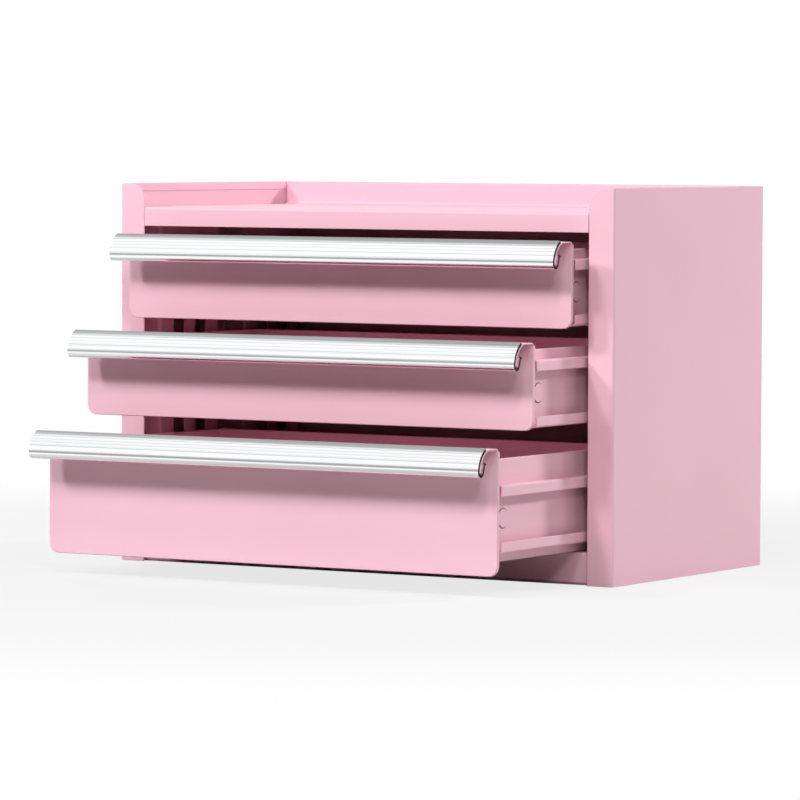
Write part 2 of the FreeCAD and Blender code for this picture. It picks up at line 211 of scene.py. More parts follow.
class ButtonSettings(bpy.types.PropertyGroup):
    """The pressed button near the front of each slide channel."""

    setback: length_setting("Setback", 14.8, "From the channel's front end to the button's centre")
    radius: length_setting("Radius", 7.25, "Radius of the button")
    groove_radius: length_setting("Groove radius", 0.5, "Radius of the groove round its foot")
    web_inset: length_setting("Web inset", 7.8, "From the channel's outer side to the web's face")


class HandleSettings(bpy.types.PropertyGroup):
    """Section and finish of the aluminium handle strip."""

    front_radius: length_setting("Front radius", 21, "Radius of the curved front")
    wall: length_setting("Wall", 2.3, "Thickness of the extrusion")
    hook_radius: length_setting("Hook radius", 4.6, "Outer radius of the hook along the bottom")
    hook_leg: length_setting("Hook leg", 7.7, "Straight part of the hook behind the lip")
    head_lap: length_setting("Head lap", 1.4, "How far the leg's head stands out on each side")
    head_height: length_setting("Head height", 1.3, "Thickness of the leg's head")
    edge_round: length_setting("Edge round", 0.3, "Round of the corners of the head")
    start_angle: angle_setting("Start angle", 62, "Where the curve starts at the top, above level")
    end_angle: angle_setting("End angle", 5, "Where the curve runs into the hook, above level")
    hook_turn: angle_setting("Hook turn", 167, "How far the hook turns")
    flute_count: IntProperty(
        name="Flutes", description="Grooves along the upper half of the front", default=5, min=0
    )
    flute_pitch: length_setting("Flute pitch", 2.85, "Spacing of the flutes round the curve")
    flute_half_width: length_setting("Flute half width", 0.45, "Half the width of each flute")
    flute_depth: length_setting("Flute depth", 0.03, "Depth of each flute")
    flute_first: length_setting("First flute", 3.6, "From the top edge to the first flute")
    metal_colour: colour_setting("Metal colour", "#FFFFFF", "Colour of the bright metal")
    line_colour: colour_setting("Line colour", "#E6EBEE", "Colour of the lines from the die")
    # Painted shade: the greyer colour in the flutes stands for the darker reflection in them.
    flute_shade_colour: colour_setting("Dirt colour", "#4A4E52", "Colour of the dirt in the flutes")
    flute_shade: share_setting("Dirt", 0.28, "How much of the metal in a flute the dirt covers")
    # Partly painted shade: the saw marks are the metal's own, but the near-black colours stand for
    # shadow on the ends.
    sawn_shade_colour: colour_setting("Sawn colour", "#1D1E21", "Colour of the sawn ends")
    saw_mark_shade_colour: colour_setting("Saw mark colour", "#323438", "Colour of the ridges between cuts")


class StageSettings(bpy.types.PropertyGroup):
    """Floor, lamps and surround."""

    floor_colour: colour_setting("Floor colour", "#C4C3C3", "Colour of the floor at the chest")
    far_colour: colour_setting("Far floor colour", "#969595", "Colour of the floor further out")
    lamp_width: length_setting("Lamp width", 330, "Width of each soft lamp")
    lamp_height: length_setting("Lamp height", 300, "Height of each soft lamp")
    lamp_distance: length_setting("Lamp distance", 2600, "From the chest to each lamp")
    light: FloatProperty(
        name="Light", description="Strength of all lamps, where 1 shows colours as written",
        default=1, min=0,
    )
    surround: FloatProperty(
        name="Surround", description="Light that reaches matt surfaces from all around",
        default=0.02, min=0,
    )


# Nodes and objects


def add_node(tree, kind, inputs=None, **settings):
    """Add a node, set its settings, and give each named input a value or a link."""
    node = tree.nodes.new(kind)
    for name, value in settings.items():
        setattr(node, name, value)
    for name, value in (inputs or {}).items():
        if isinstance(value, bpy.types.NodeSocket):
            tree.links.new(value, node.inputs[name])
        else:
            node.inputs[name].default_value = value
    return node


def new_material(name):
    """New material and its empty node tree."""
    material = bpy.data.materials.new(name)
    material.use_nodes = True
    material.node_tree.nodes.clear()
    return material, material.node_tree


def new_shape_tree(name, sizes):
    """New Geometry Nodes tree with inputs of these names and kinds, and its input sockets."""
    tree = bpy.data.node_groups.new(name, "GeometryNodeTree")
    tree.is_modifier = True
    for label, kind in (("Geometry", "Geometry"), *sizes):
        tree.interface.new_socket(label, in_out="INPUT", socket_type="NodeSocket" + kind)
    tree.interface.new_socket("Geometry", in_out="OUTPUT", socket_type="NodeSocketGeometry")
    return tree, add_node(tree, "NodeGroupInput").outputs


def add_shape_tree(work, tree, sizes):
    """Modifier that runs a tree, with its inputs found by name and set by identifier."""
    modifier = work.modifiers.new(tree.name, "NODES")
    modifier.node_group = tree
    sockets = {
        item.name: item.identifier
        for item in tree.interface.items_tree
        if item.item_type == "SOCKET" and item.in_out == "INPUT"
    }
    for name, value in sizes.items():
        modifier[sockets[name]] = value


def linked_object(name, data):
    """New object in the scene, at the origin."""
    made = bpy.data.objects.new(name, data)
    bpy.context.scene.collection.objects.link(made)
    return made


def made_plain(work, name):
    """Plain mesh object of what an object's modifiers make. The object itself is removed."""
    bpy.context.view_layer.update()
    evaluated = work.evaluated_get(bpy.context.evaluated_depsgraph_get())
    mesh = bpy.data.meshes.new_from_object(evaluated)
    bpy.data.objects.remove(work)
    mesh.name = name
    return linked_object(name, mesh)


def take_place(piece, node_name):
    """Let a finished piece ride on the body of its CAD node and replace that node."""
    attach(piece, frame["nodes"][node_name]["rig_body"])
    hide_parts(node_name)


# Materials


def powder_coat(name, full, thin):
    """Polyester powder coat, sprayed dry and baked on steel.

    To the eye: an even satin skin with faint orange peel, very slightly deeper where it is thin.
    In the pressed grooves the colour is darker, as a painted shade in the groove round each button.
    """
    coat = bpy.context.scene.chest_coat
    unevenness = 0.04  # of the roughness
    material, tree = new_material(name)
    place = add_node(tree, "ShaderNodeTexCoord").outputs["Object"]
    clouds = add_node(
        tree, "ShaderNodeTexNoise", {"Vector": place, "Scale": 1 / coat.cloud_size, "Detail": 2}
    ).outputs["Fac"]
    ripples = add_node(
        tree,
        "ShaderNodeTexNoise",
        {"Vector": place, "Scale": 1 / coat.peel_size, "Detail": 2, "Roughness": 0.4},
    ).outputs["Fac"]
    clean = add_node(
        tree,
        "ShaderNodeMix",
        {0: clouds, COLOUR_A: rgba(full), COLOUR_B: rgba(thin)},
        data_type="RGBA",
    ).outputs[MIXED_COLOUR]
    # Painted shade: the groove mask turns the coat darker in the pressed grooves.
    groove = add_node(
        tree, "ShaderNodeAttribute", attribute_name=GROOVE_ATTRIBUTE
    ).outputs["Fac"]
    colour = add_node(
        tree,
        "ShaderNodeMix",
        {0: groove, COLOUR_A: clean, COLOUR_B: rgba(coat.groove_shade_colour)},
        data_type="RGBA",
    ).outputs[MIXED_COLOUR]
    roughness = add_node(
        tree,
        "ShaderNodeMapRange",
        {
            "Value": clouds,
            "To Min": coat.roughness - unevenness,
            "To Max": coat.roughness + unevenness,
        },
    ).outputs["Result"]
    skin = add_node(
        tree, "ShaderNodeBump", {"Height": ripples, "Distance": coat.peel_depth, "Strength": 1}
    ).outputs["Normal"]
    surface = add_node(
        tree,
        "ShaderNodeBsdfPrincipled",
        {"Base Color": colour, "Roughness": roughness, "Normal": skin, "IOR": 1.5},
    )
    add_node(tree, "ShaderNodeOutputMaterial", {"Surface": surface.outputs["BSDF"]})
    return material


def drawn_aluminium():
    """Extruded aluminium, drawn through a polished die and bright anodised.

    To the eye: a pale mirror blurred across the strip, with long faint lines from the die.
    In its flutes the colour is greyer, a painted shade that stands for the darker reflection there.
    Real die lines are about 0.1 mm apart. Here they are 2 mm apart, so that some of them show.
    """
    strip = bpy.context.scene.chest_handle
    line_spacing = 2 * MM
    line_depth = 0.01 * MM
    along_strip = 0.0002  # the lines hardly change along the strip, which is X
    noise_low, noise_high = 0.32, 0.6  # most of the noise lies between these
    line_roughness, metal_roughness = 0.18, 0.1
    material, tree = new_material("drawn_bright_aluminium")
    place = add_node(tree, "ShaderNodeTexCoord").outputs["Object"]
    stretched = add_node(
        tree, "ShaderNodeMapping", {"Vector": place, "Scale": (along_strip, 1, 1)}
    ).outputs["Vector"]
    lines = add_node(
        tree, "ShaderNodeTexNoise", {"Vector": stretched, "Scale": 1 / line_spacing, "Detail": 2}
    ).outputs["Fac"]
    brightness = add_node(
        tree,
        "ShaderNodeMapRange",
        {"Value": lines, "From Min": noise_low, "From Max": noise_high},
    ).outputs["Result"]
    clean = add_node(
        tree,
        "ShaderNodeMix",
        {0: brightness, COLOUR_A: rgba(strip.line_colour), COLOUR_B: rgba(strip.metal_colour)},
        data_type="RGBA",
    ).outputs[MIXED_COLOUR]
    # Painted shade: the metal turns greyer in each flute, for the darker reflection there.
    flute = add_node(
        tree, "ShaderNodeAttribute", attribute_name=FLUTE_ATTRIBUTE
    ).outputs["Fac"]
    flute_shade = add_node(
        tree, "ShaderNodeMath", {0: flute, 1: strip.flute_shade}, operation="MULTIPLY"
    ).outputs["Value"]
    colour = add_node(
        tree,
        "ShaderNodeMix",
        {0: flute_shade, COLOUR_A: clean, COLOUR_B: rgba(strip.flute_shade_colour)},
        data_type="RGBA",
    ).outputs[MIXED_COLOUR]
    roughness = add_node(
        tree,
        "ShaderNodeMapRange",
        {"Value": lines, "To Min": line_roughness, "To Max": metal_roughness},
    ).outputs["Result"]
    grain = add_node(
        tree, "ShaderNodeBump", {"Height": lines, "Distance": line_depth, "Strength": 1}
    ).outputs["Normal"]
    surface = add_node(
        tree,
        "ShaderNodeBsdfPrincipled",
        {"Base Color": colour, "Metallic": 1, "Roughness": roughness, "Normal": grain},
    )
    add_node(tree, "ShaderNodeOutputMaterial", {"Surface": surface.outputs["BSDF"]})
    return material


def sawn_aluminium():
    """Aluminium cut with a fine saw and left bare.

    To the eye: a dull face crossed by saw marks, nearly black beside the bright front.
    Its near-black colour is painted shade, for the shadow on the ends and in the hook's hollow.
    Real marks are about 0.5 mm apart. Here they are 3 mm apart, so that some of them show.
    """
    strip = bpy.context.scene.chest_handle
    wave_scale = 0.1 / MM  # one wave takes 0.314 divided by this
    material, tree = new_material("sawn_aluminium_painted_shade")
    place = add_node(tree, "ShaderNodeTexCoord").outputs["Object"]
    marks = add_node(
        tree,
        "ShaderNodeTexWave",
        {"Vector": place, "Scale": wave_scale, "Distortion": 1.5, "Detail": 2},
        bands_direction="Z",
    ).outputs["Fac"]
    colour = add_node(
        tree,
        "ShaderNodeMix",
        {0: marks, COLOUR_A: rgba(strip.sawn_shade_colour), COLOUR_B: rgba(strip.saw_mark_shade_colour)},
        data_type="RGBA",
    ).outputs[MIXED_COLOUR]
    surface = add_node(
        tree,
        "ShaderNodeBsdfPrincipled",
        {"Base Color": colour, "Metallic": 1, "Roughness": 0.5},
    )
    add_node(tree, "ShaderNodeOutputMaterial", {"Surface": surface.outputs["BSDF"]})
    return material


def ray_kinds(tree):
    """1 for rays from the camera, and 1 for rays from mirror-like and clear surfaces."""
    path = add_node(tree, "ShaderNodeLightPath").outputs
    reflected = add_node(
        tree,
        "ShaderNodeMath",
        {0: path["Is Glossy Ray"], 1: path["Is Transmission Ray"]},
        operation="MAXIMUM",
    ).outputs["Value"]
    return path["Is Camera Ray"], reflected


def studio_paper(near_colour, far_colour):
    """Matt paper floor, pale at the chest and greyer further out, so that it throws little light.

    To the camera it fades into the white background, and it keeps the chest's shadow.
    """
    material, tree = new_material("white_paper_floor")
    place = add_node(tree, "ShaderNodeTexCoord").outputs["Object"]
    distance = add_node(
        tree, "ShaderNodeVectorMath", {0: place}, operation="LENGTH"
    ).outputs["Value"]
    greyness = add_node(
        tree,
        "ShaderNodeMapRange",
        {"Value": distance, "From Min": FLOOR_GREY_FROM, "From Max": FLOOR_GREY_TO},
        interpolation_type="SMOOTHSTEP",
    ).outputs["Result"]
    colour = add_node(
        tree,
        "ShaderNodeMix",
        {0: greyness, COLOUR_A: rgba(near_colour), COLOUR_B: rgba(far_colour)},
        data_type="RGBA",
    ).outputs[MIXED_COLOUR]
    shares = []
    for ray, (near_share, all_white) in zip(
        ray_kinds(tree), (WHITE_TO_CAMERA, WHITE_IN_REFLECTIONS)
    ):
        share = add_node(
            tree,
            "ShaderNodeMapRange",
            {
                "Value": distance,
                "From Min": FLOOR_WHITE_FROM,
                "From Max": all_white,
                "To Min": near_share,
            },
            interpolation_type="SMOOTHSTEP",
        ).outputs["Result"]
        shares.append(
            add_node(tree, "ShaderNodeMath", {0: share, 1: ray}, operation="MULTIPLY")
            .outputs["Value"]
        )
    whiteness = add_node(
        tree, "ShaderNodeMath", {0: shares[0], 1: shares[1]}, operation="MAXIMUM"
    ).outputs["Value"]
    matt = add_node(tree, "ShaderNodeBsdfDiffuse", {"Color": colour}).outputs["BSDF"]
    white = add_node(
        tree, "ShaderNodeEmission", {"Color": WHITE, "Strength": 1}
    ).outputs["Emission"]
    surface = add_node(tree, "ShaderNodeMixShader", {0: whiteness, 1: matt, 2: white})
    add_node(tree, "ShaderNodeOutputMaterial", {"Surface": surface.outputs["Shader"]})
    return material


# Sheet metal


def join_triangles(mesh, edge_round):
    """Join the loose triangles of a CAD mesh into whole flat faces, and mark its cut edges."""
    work = bmesh.new()
    work.from_mesh(mesh)
    bmesh.ops.remove_doubles(work, verts=work.verts, dist=MERGE_DISTANCE)
    surface = BVHTree.FromBMesh(work)
    bmesh.ops.dissolve_limit(work, angle_limit=FLAT_ANGLE, verts=work.verts, edges=work.edges)
    work.normal_update()
    room = ROOM_BESIDE_EDGE * edge_round
    softness = work.edges.layers.float.new("bevel_weight_edge")
    for edge in work.edges:
        cut = len(edge.link_faces) == 2 and edge.calc_face_angle() > CUT_ANGLE
        edge[softness] = float(cut and has_room(edge, surface, room))
    work.to_mesh(mesh)
    work.free()
    mesh.polygons.foreach_set("use_smooth", [True] * len(mesh.polygons))
    mesh.materials.clear()


def has_room(edge, surface, width):
    """Whether the sheet on both sides of an edge stays flat for a width, to take a round."""
    middle = (edge.verts[0].co + edge.verts[1].co) / 2
    for loop in edge.link_loops:
        along = loop.link_loop_next.vert.co - loop.vert.co
        inward = loop.face.normal.cross(along).normalized()
        _, normal, _, distance = surface.find_nearest(middle + inward * width)
        if distance > LEVEL_WITHIN or normal.dot(loop.face.normal) < LEAST_COSINE:
            return False
    return True


def groove_nodes(coat):
    """Tree that presses a round groove into a sheet, round the foot of its button."""
    tree, given = new_shape_tree(
        GROOVE_TREE, (("Centre", "Vector"), ("Ring Radius", "Float"), ("Groove Radius", "Float"))
    )
    ring = add_node(
        tree, "GeometryNodeCurvePrimitiveCircle", {"Resolution": 48, "Radius": given["Ring Radius"]}
    ).outputs["Curve"]
    wire = add_node(
        tree,
        "GeometryNodeCurvePrimitiveCircle",
        {"Resolution": 10, "Radius": given["Groove Radius"]},
    ).outputs["Curve"]
    cutter = add_node(
        tree, "GeometryNodeCurveToMesh", {"Curve": ring, "Profile Curve": wire}
    ).outputs["Mesh"]
    # The cutter's faces are marked, so that the coat paints shade on the groove they cut.
    marked = add_node(
        tree,
        "GeometryNodeStoreNamedAttribute",
        {"Geometry": cutter, "Name": GROOVE_ATTRIBUTE, "Value": 1},
        data_type="FLOAT",
        domain="FACE",
    ).outputs["Geometry"]
    sideways = (0, math.radians(90), 0)
    placed = add_node(
        tree,
        "GeometryNodeTransform",
        {"Geometry": marked, "Translation": given["Centre"], "Rotation": sideways},
    ).outputs["Geometry"]
    closed = add_node(
        tree,
        "GeometryNodeMergeByDistance",
        {"Geometry": given["Geometry"], "Distance": MERGE_DISTANCE},
    ).outputs["Geometry"]
    large = [
        add_node(
            tree, "GeometryNodeTransform", {"Geometry": shape, "Scale": (ENLARGED,) * 3}
        ).outputs["Geometry"]
        for shape in (closed, placed)
    ]
    pressed = add_node(
        tree,
        "GeometryNodeMeshBoolean",
        {"Mesh 1": large[0], "Mesh 2": large[1]},
        operation="DIFFERENCE",
        solver="EXACT",
    ).outputs["Mesh"]
    small = add_node(
        tree, "GeometryNodeTransform", {"Geometry": pressed, "Scale": (1 / ENLARGED,) * 3}
    ).outputs["Geometry"]
    real = add_node(
        tree, "GeometryNodeRealizeInstances", {"Geometry": small}
    ).outputs["Geometry"]
    coated = add_node(
        tree, "GeometryNodeSetMaterial", {"Geometry": real, "Material": coat}
    ).outputs["Geometry"]
    add_node(tree, "NodeGroupOutput", {"Geometry": coated})
    return tree


def press_groove(work, node_name, tree):
    """Groove modifier for a slide channel, at the place of its button."""
    button = bpy.context.scene.chest_button
    low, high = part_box(node_name)
    side = 1 if high.x > 0 else -1
    web_x = max(abs(low.x), abs(high.x)) - button.web_inset
    sizes = {
        "Centre": (side * web_x, low.y + button.setback, (low.z + high.z) / 2),
        "Ring Radius": button.radius + button.groove_radius / 2,
        "Groove Radius": button.groove_radius,
    }
    add_shape_tree(work, tree, sizes)


def coated_sheet(node_name, materials, groove_tree):
    """Sheet part with the soft edges that a coat of powder leaves, in place of its CAD node."""
    coat = bpy.context.scene.chest_coat
    work = linked_object(node_name + "_work", frame["nodes"][node_name].data.copy())
    if node_name.endswith(SLIDE_ENDS):
        press_groove(work, node_name, groove_tree)
        work = made_plain(work, node_name + "_grooved")
    join_triangles(work.data, coat.edge_round)
    for material in materials:
        work.data.materials.append(material)
    soften = work.modifiers.new("soft_edges", "BEVEL")
    soften.width = coat.edge_round
    soften.segments = EDGE_SEGMENTS
    soften.limit_method = "WEIGHT"
    soften.use_clamp_overlap = False
    # The rounded edges take the last material, whose lighter colour is a painted highlight.
    soften.material = len(materials) - 1
    piece = made_plain(work, node_name + "_coated")
    piece.data.set_sharp_from_angle(angle=SHEET_SHARP_ANGLE)
    shade = piece.modifiers.new("even_shading", "WEIGHTED_NORMAL")
    shade.keep_sharp = True
    take_place(piece, node_name)


def coat_materials():
    """Coat of the flat sheet and, last, of its edges, lighter there as a painted highlight. Each is
    made once.
    """
    coat = bpy.context.scene.chest_coat
    wanted = (
        ("pink_powder_coat_sheet", coat.colour, coat.thin_colour),
        ("pink_powder_coat_edge_highlight", coat.edge_highlight_colour, coat.colour),
    )
    return [
        bpy.data.materials.get(name) or powder_coat(name, full, thin)
        for name, full, thin in wanted
    ]


def coat_body(body):
    """Coated sheets for every part of a body except its handle strip."""
    materials = coat_materials()
    groove_tree = bpy.data.node_groups.get(GROOVE_TREE) or groove_nodes(materials[0])
    for node_name in frame["record"]["behaviour"]["bodies"][body]:
        if not node_name.endswith(HANDLE_END):
            coated_sheet(node_name, materials, groove_tree)


# Handle strips


def arc_points(centre, radius, first, last, step):
    """Points of an arc in side view. Angles rise from level, seen from the front of the strip."""
    count = max(2, math.ceil(abs(last - first) * radius / step))
    points = []
    for index in range(count + 1):
        angle = first + (last - first) * index / count
        points.append(
            (centre[0] - radius * math.cos(angle), centre[1] + radius * math.sin(angle))
        )
    return points


def strip_section(centre):
    """Outline of the strip, from the outer top edge round the hook and back inside."""
    strip = bpy.context.scene.chest_handle
    fine = 0.1 * MM
    coarse = 0.3 * MM
    start = strip.start_angle
    end = strip.end_angle
    hook_end = end - strip.hook_turn
    reach = strip.front_radius - strip.hook_radius
    hook = (centre[0] - reach * math.cos(end), centre[1] + reach * math.sin(end))
    inner_radius = strip.front_radius - strip.wall
    inner_hook = strip.hook_radius - strip.wall
    along = Vector((-math.sin(hook_end), -math.cos(hook_end)))
    outer = arc_points(centre, strip.front_radius, start, end, fine)
    outer += arc_points(hook, strip.hook_radius, end, hook_end, coarse)[1:]
    inner = arc_points(hook, inner_hook, hook_end, end, coarse)
    inner += arc_points(centre, inner_radius, end, start, coarse)[1:]
    return outer + hook_head(Vector(outer[-1]), Vector(inner[0]), along) + inner


def hook_head(outside, inside, along):
    """Outline of the hook's leg and head, from the foot of the leg's outside to its inside."""
    strip = bpy.context.scene.chest_handle
    lap = (outside - inside).normalized() * strip.head_lap
    neck = along * (strip.hook_leg - strip.head_height)
    tip = along * strip.hook_leg
    corners = [
        outside + neck,
        outside + neck + lap,
        outside + tip + lap,
        inside + tip - lap,
        inside + neck - lap,
        inside + neck,
    ]
    points = [corners[0]]
    for before, corner, after in zip(corners, corners[1:], corners[2:]):
        points += rounded_corner(before, corner, after, strip.edge_round)
    return points + [corners[-1]]


def rounded_corner(before, corner, after, radius):
    """Points of a square corner that is rounded."""
    steps = 4
    back = (before - corner).normalized()
    onward = (after - corner).normalized()
    centre = corner + radius * (back + onward)
    turns = [math.radians(90) * step / steps for step in range(steps + 1)]
    return [centre - radius * (math.cos(turn) * onward + math.sin(turn) * back) for turn in turns]


def flute_hollow(tree, given):
    """1 for points of the section in the middle of a flute, falling to 0 at the flute's sides.

    Each point takes its nearest flute, from its distance along the section.
    """
    distance = add_node(tree, "GeometryNodeSplineParameter").outputs["Length"]
    from_first = add_node(
        tree, "ShaderNodeMath", {0: distance, 1: given["First Flute"]}, operation="SUBTRACT"
    ).outputs["Value"]
    share = add_node(
        tree, "ShaderNodeMath", {0: from_first, 1: given["Flute Pitch"]}, operation="DIVIDE"
    ).outputs["Value"]
    nearest = add_node(tree, "ShaderNodeMath", {0: share}, operation="ROUND").outputs["Value"]
    last = add_node(
        tree, "ShaderNodeMath", {0: given["Flutes"], 1: 1}, operation="SUBTRACT"
    ).outputs["Value"]
    number = add_node(
        tree, "ShaderNodeClamp", {"Value": nearest, "Min": 0, "Max": last}
    ).outputs["Result"]
    flute_place = add_node(
        tree, "ShaderNodeMath", {0: number, 1: given["Flute Pitch"]}, operation="MULTIPLY"
    ).outputs["Value"]
    off_centre = add_node(
        tree, "ShaderNodeMath", {0: from_first, 1: flute_place}, operation="SUBTRACT"
    ).outputs["Value"]
    off_share = add_node(
        tree, "ShaderNodeMath", {0: off_centre, 1: given["Flute Half Width"]}, operation="DIVIDE"
    ).outputs["Value"]
    off_squared = add_node(
        tree, "ShaderNodeMath", {0: off_share, 1: off_share}, operation="MULTIPLY"
    ).outputs["Value"]
    room = add_node(
        tree, "ShaderNodeMath", {0: 1, 1: off_squared}, operation="SUBTRACT"
    ).outputs["Value"]
    return add_node(
        tree, "ShaderNodeMath", {0: room, 1: 0}, operation="MAXIMUM"
    ).outputs["Value"]


def strip_nodes(metal, sawn):
    """Tree that cuts the flutes into a section and sweeps it along the chest.

    The section lies in its own X-Y plane, X to the rear and Y up, and the strip is turned upright.
    """
    tree, given = new_shape_tree(
        "fluted_strip",
        (
            ("Half Length", "Float"),
            ("Flute Half Width", "Float"),
            ("Flute Depth", "Float"),
            ("Flute Pitch", "Float"),
            ("First Flute", "Float"),
            ("Curve Centre", "Vector"),
            ("Flutes", "Int"),
        ),
    )
    hollow = flute_hollow(tree, given)
    marked = add_node(
        tree,
        "GeometryNodeStoreNamedAttribute",
        {"Geometry": given["Geometry"], "Name": FLUTE_ATTRIBUTE, "Value": hollow},
        data_type="FLOAT",
        domain="POINT",
    ).outputs["Geometry"]
    depth = add_node(
        tree, "ShaderNodeMath", {0: hollow, 1: given["Flute Depth"]}, operation="MULTIPLY"
    ).outputs["Value"]
    position = add_node(tree, "GeometryNodeInputPosition").outputs["Position"]
    to_centre = add_node(
        tree, "ShaderNodeVectorMath", {0: given["Curve Centre"], 1: position}, operation="SUBTRACT"
    ).outputs["Vector"]
    inward = add_node(
        tree, "ShaderNodeVectorMath", {0: to_centre}, operation="NORMALIZE"
    ).outputs["Vector"]
    move = add_node(
        tree, "ShaderNodeVectorMath", {0: inward, "Scale": depth}, operation="SCALE"
    ).outputs["Vector"]
    fluted = add_node(
        tree, "GeometryNodeSetPosition", {"Geometry": marked, "Offset": move}
    ).outputs["Geometry"]
    # The section is swept along the chest's width and capped
    back = add_node(
        tree, "ShaderNodeMath", {0: given["Half Length"], 1: -1}, operation="MULTIPLY"
    ).outputs["Value"]
    low_end = add_node(tree, "ShaderNodeCombineXYZ", {"Z": back}).outputs["Vector"]
    high_end = add_node(tree, "ShaderNodeCombineXYZ", {"Z": given["Half Length"]}).outputs["Vector"]
    path = add_node(
        tree, "GeometryNodeCurvePrimitiveLine", {"Start": low_end, "End": high_end}
    ).outputs["Curve"]
    swept = add_node(
        tree,
        "GeometryNodeCurveToMesh",
        {"Curve": path, "Profile Curve": fluted, "Fill Caps": True},
    ).outputs["Mesh"]
    upright = (math.radians(90), 0, math.radians(90))
    turned = add_node(
        tree, "GeometryNodeTransform", {"Geometry": swept, "Rotation": upright}
    ).outputs["Geometry"]
    real = add_node(
        tree, "GeometryNodeRealizeInstances", {"Geometry": turned}
    ).outputs["Geometry"]
    bright = add_node(
        tree, "GeometryNodeSetMaterial", {"Geometry": real, "Material": metal}
    ).outputs["Geometry"]
    # Faces that look along the chest's width are the sawn ends
    end_share = 0.9
    normal = add_node(tree, "GeometryNodeInputNormal").outputs["Normal"]
    sideways = add_node(tree, "ShaderNodeSeparateXYZ", {"Vector": normal}).outputs["X"]
    size = add_node(tree, "ShaderNodeMath", {0: sideways}, operation="ABSOLUTE").outputs["Value"]
    is_end = add_node(
        tree, "FunctionNodeCompare", {0: size, 1: end_share}, operation="GREATER_THAN"
    ).outputs["Result"]
    ends = add_node(
        tree,
        "GeometryNodeSetMaterial",
        {"Geometry": bright, "Selection": is_end, "Material": sawn},
    ).outputs["Geometry"]
    add_node(tree, "NodeGroupOutput", {"Geometry": ends})
    return tree


def sweep_handle(node_name, tree):
    """Handle strip in the place of its CAD node."""
    strip = bpy.context.scene.chest_handle
    low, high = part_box(node_name)
    hook_reach = (strip.front_radius - strip.hook_radius) * math.cos(strip.end_angle)
    centre = (
        low.y + hook_reach + strip.hook_radius,
        high.z - strip.front_radius * math.sin(strip.start_angle),
    )
    curve = bpy.data.curves.new(node_name + "_section", "CURVE")
    curve.dimensions = "3D"
    outline = strip_section(centre)
    spline = curve.splines.new("POLY")
    spline.points.add(len(outline) - 1)
    spline.use_cyclic_u = True
    for point, (depth, height) in zip(spline.points, outline):
        point.co = (depth, height, 0, 1)
    work = linked_object(node_name + "_work", curve)
    sizes = {
        "Half Length": high.x,
        "Flute Half Width": strip.flute_half_width,
        "Flute Depth": strip.flute_depth,
        "Flute Pitch": strip.flute_pitch,
        "First Flute": strip.flute_first,
        "Curve Centre": (*centre, 0),
        "Flutes": strip.flute_count,
    }
    add_shape_tree(work, tree, sizes)
    piece = made_plain(work, node_name + "_strip")
    piece.data.set_sharp_from_angle(angle=STRIP_SHARP_ANGLE)
    take_place(piece, node_name)


# Stage


def from_front(azimuth, elevation, distance, target):
    """Place at a distance from a target. Azimuth is to the right of straight in front."""
    turn = math.radians(azimuth)
    rise = math.radians(elevation)
    flat = distance * math.cos(rise)
    return (
        target[0] + flat * math.sin(turn),
        target[1] - flat * math.cos(turn),
        target[2] + distance * math.sin(rise),
    )


def soft_lamp(name, power, size, place, target):
    """Rectangular area lamp that faces a point."""
    lamp = bpy.data.lights.new(name, "AREA")
    lamp.shape = "RECTANGLE"
    lamp.size, lamp.size_y = size
    lamp.energy = power
    holder = linked_object(name, lamp)
    holder.location = place
    holder.rotation_euler = (Vector(target) - Vector(place)).to_track_quat("-Z", "Y").to_euler()
    return holder


def photo_camera():
    """Camera at the photograph's place and angle."""
    flat = math.cos(CAMERA_PITCH)
    back = Vector(
        (math.sin(CAMERA_YAW) * flat, -math.cos(CAMERA_YAW) * flat, math.sin(CAMERA_PITCH))
    )
    level = Vector((math.cos(CAMERA_YAW), math.sin(CAMERA_YAW), 0))
    right = math.cos(CAMERA_ROLL) * level + math.sin(CAMERA_ROLL) * back.cross(level)
    turn = Matrix((right, back.cross(right), back)).transposed().to_4x4()
    camera = bpy.data.cameras.new("photo_camera")
    camera.sensor_width = SENSOR_WIDTH
    camera.lens = LENS
    camera.clip_end = CLIP_END
    holder = linked_object("photo_camera", camera)
    holder.matrix_world = Matrix.Translation(CAMERA_PLACE) @ turn
    bpy.context.scene.camera = holder


def studio_world(surround):
    """White to the camera, a white room with a grey ceiling in gloss, and dim on matt surfaces."""
    world = bpy.data.worlds.new("white_studio")
    world.use_nodes = True
    tree = world.node_tree
    tree.nodes.clear()
    # In a world, Generated is the direction that the ray looks in
    direction = add_node(tree, "ShaderNodeTexCoord").outputs["Generated"]
    height = add_node(
        tree,
        "ShaderNodeVectorMath",
        {0: direction, 1: (0, math.cos(ROOM_TILT), math.sin(ROOM_TILT))},
        operation="DOT_PRODUCT",
    ).outputs["Value"]
    level = add_node(
        tree, "ShaderNodeMapRange", {"Value": height, "From Min": -1}
    ).outputs["Result"]
    walls = add_node(tree, "ShaderNodeValToRGB", {"Fac": level})
    stops = walls.color_ramp.elements
    for number, (place, brightness) in enumerate(REFLECTED_ROOM):
        stop = stops[number] if number < len(stops) else stops.new(place)
        stop.position = place
        stop.color = (brightness, brightness, brightness, 1)
    camera_ray, reflected = ray_kinds(tree)
    room = add_node(
        tree, "ShaderNodeMath", {0: walls.outputs["Color"], 1: camera_ray}, operation="MAXIMUM"
    ).outputs["Value"]
    seen = add_node(
        tree, "ShaderNodeMath", {0: camera_ray, 1: reflected}, operation="MAXIMUM"
    ).outputs["Value"]
    strength = add_node(
        tree, "ShaderNodeMix", {0: seen, NUMBER_A: surround, NUMBER_B: room}
    ).outputs[MIXED_NUMBER]
    background = add_node(tree, "ShaderNodeBackground", {"Color": WHITE, "Strength": strength})
    add_node(tree, "ShaderNodeOutputWorld", {"Surface": background.outputs["Background"]})
    bpy.context.scene.world = world


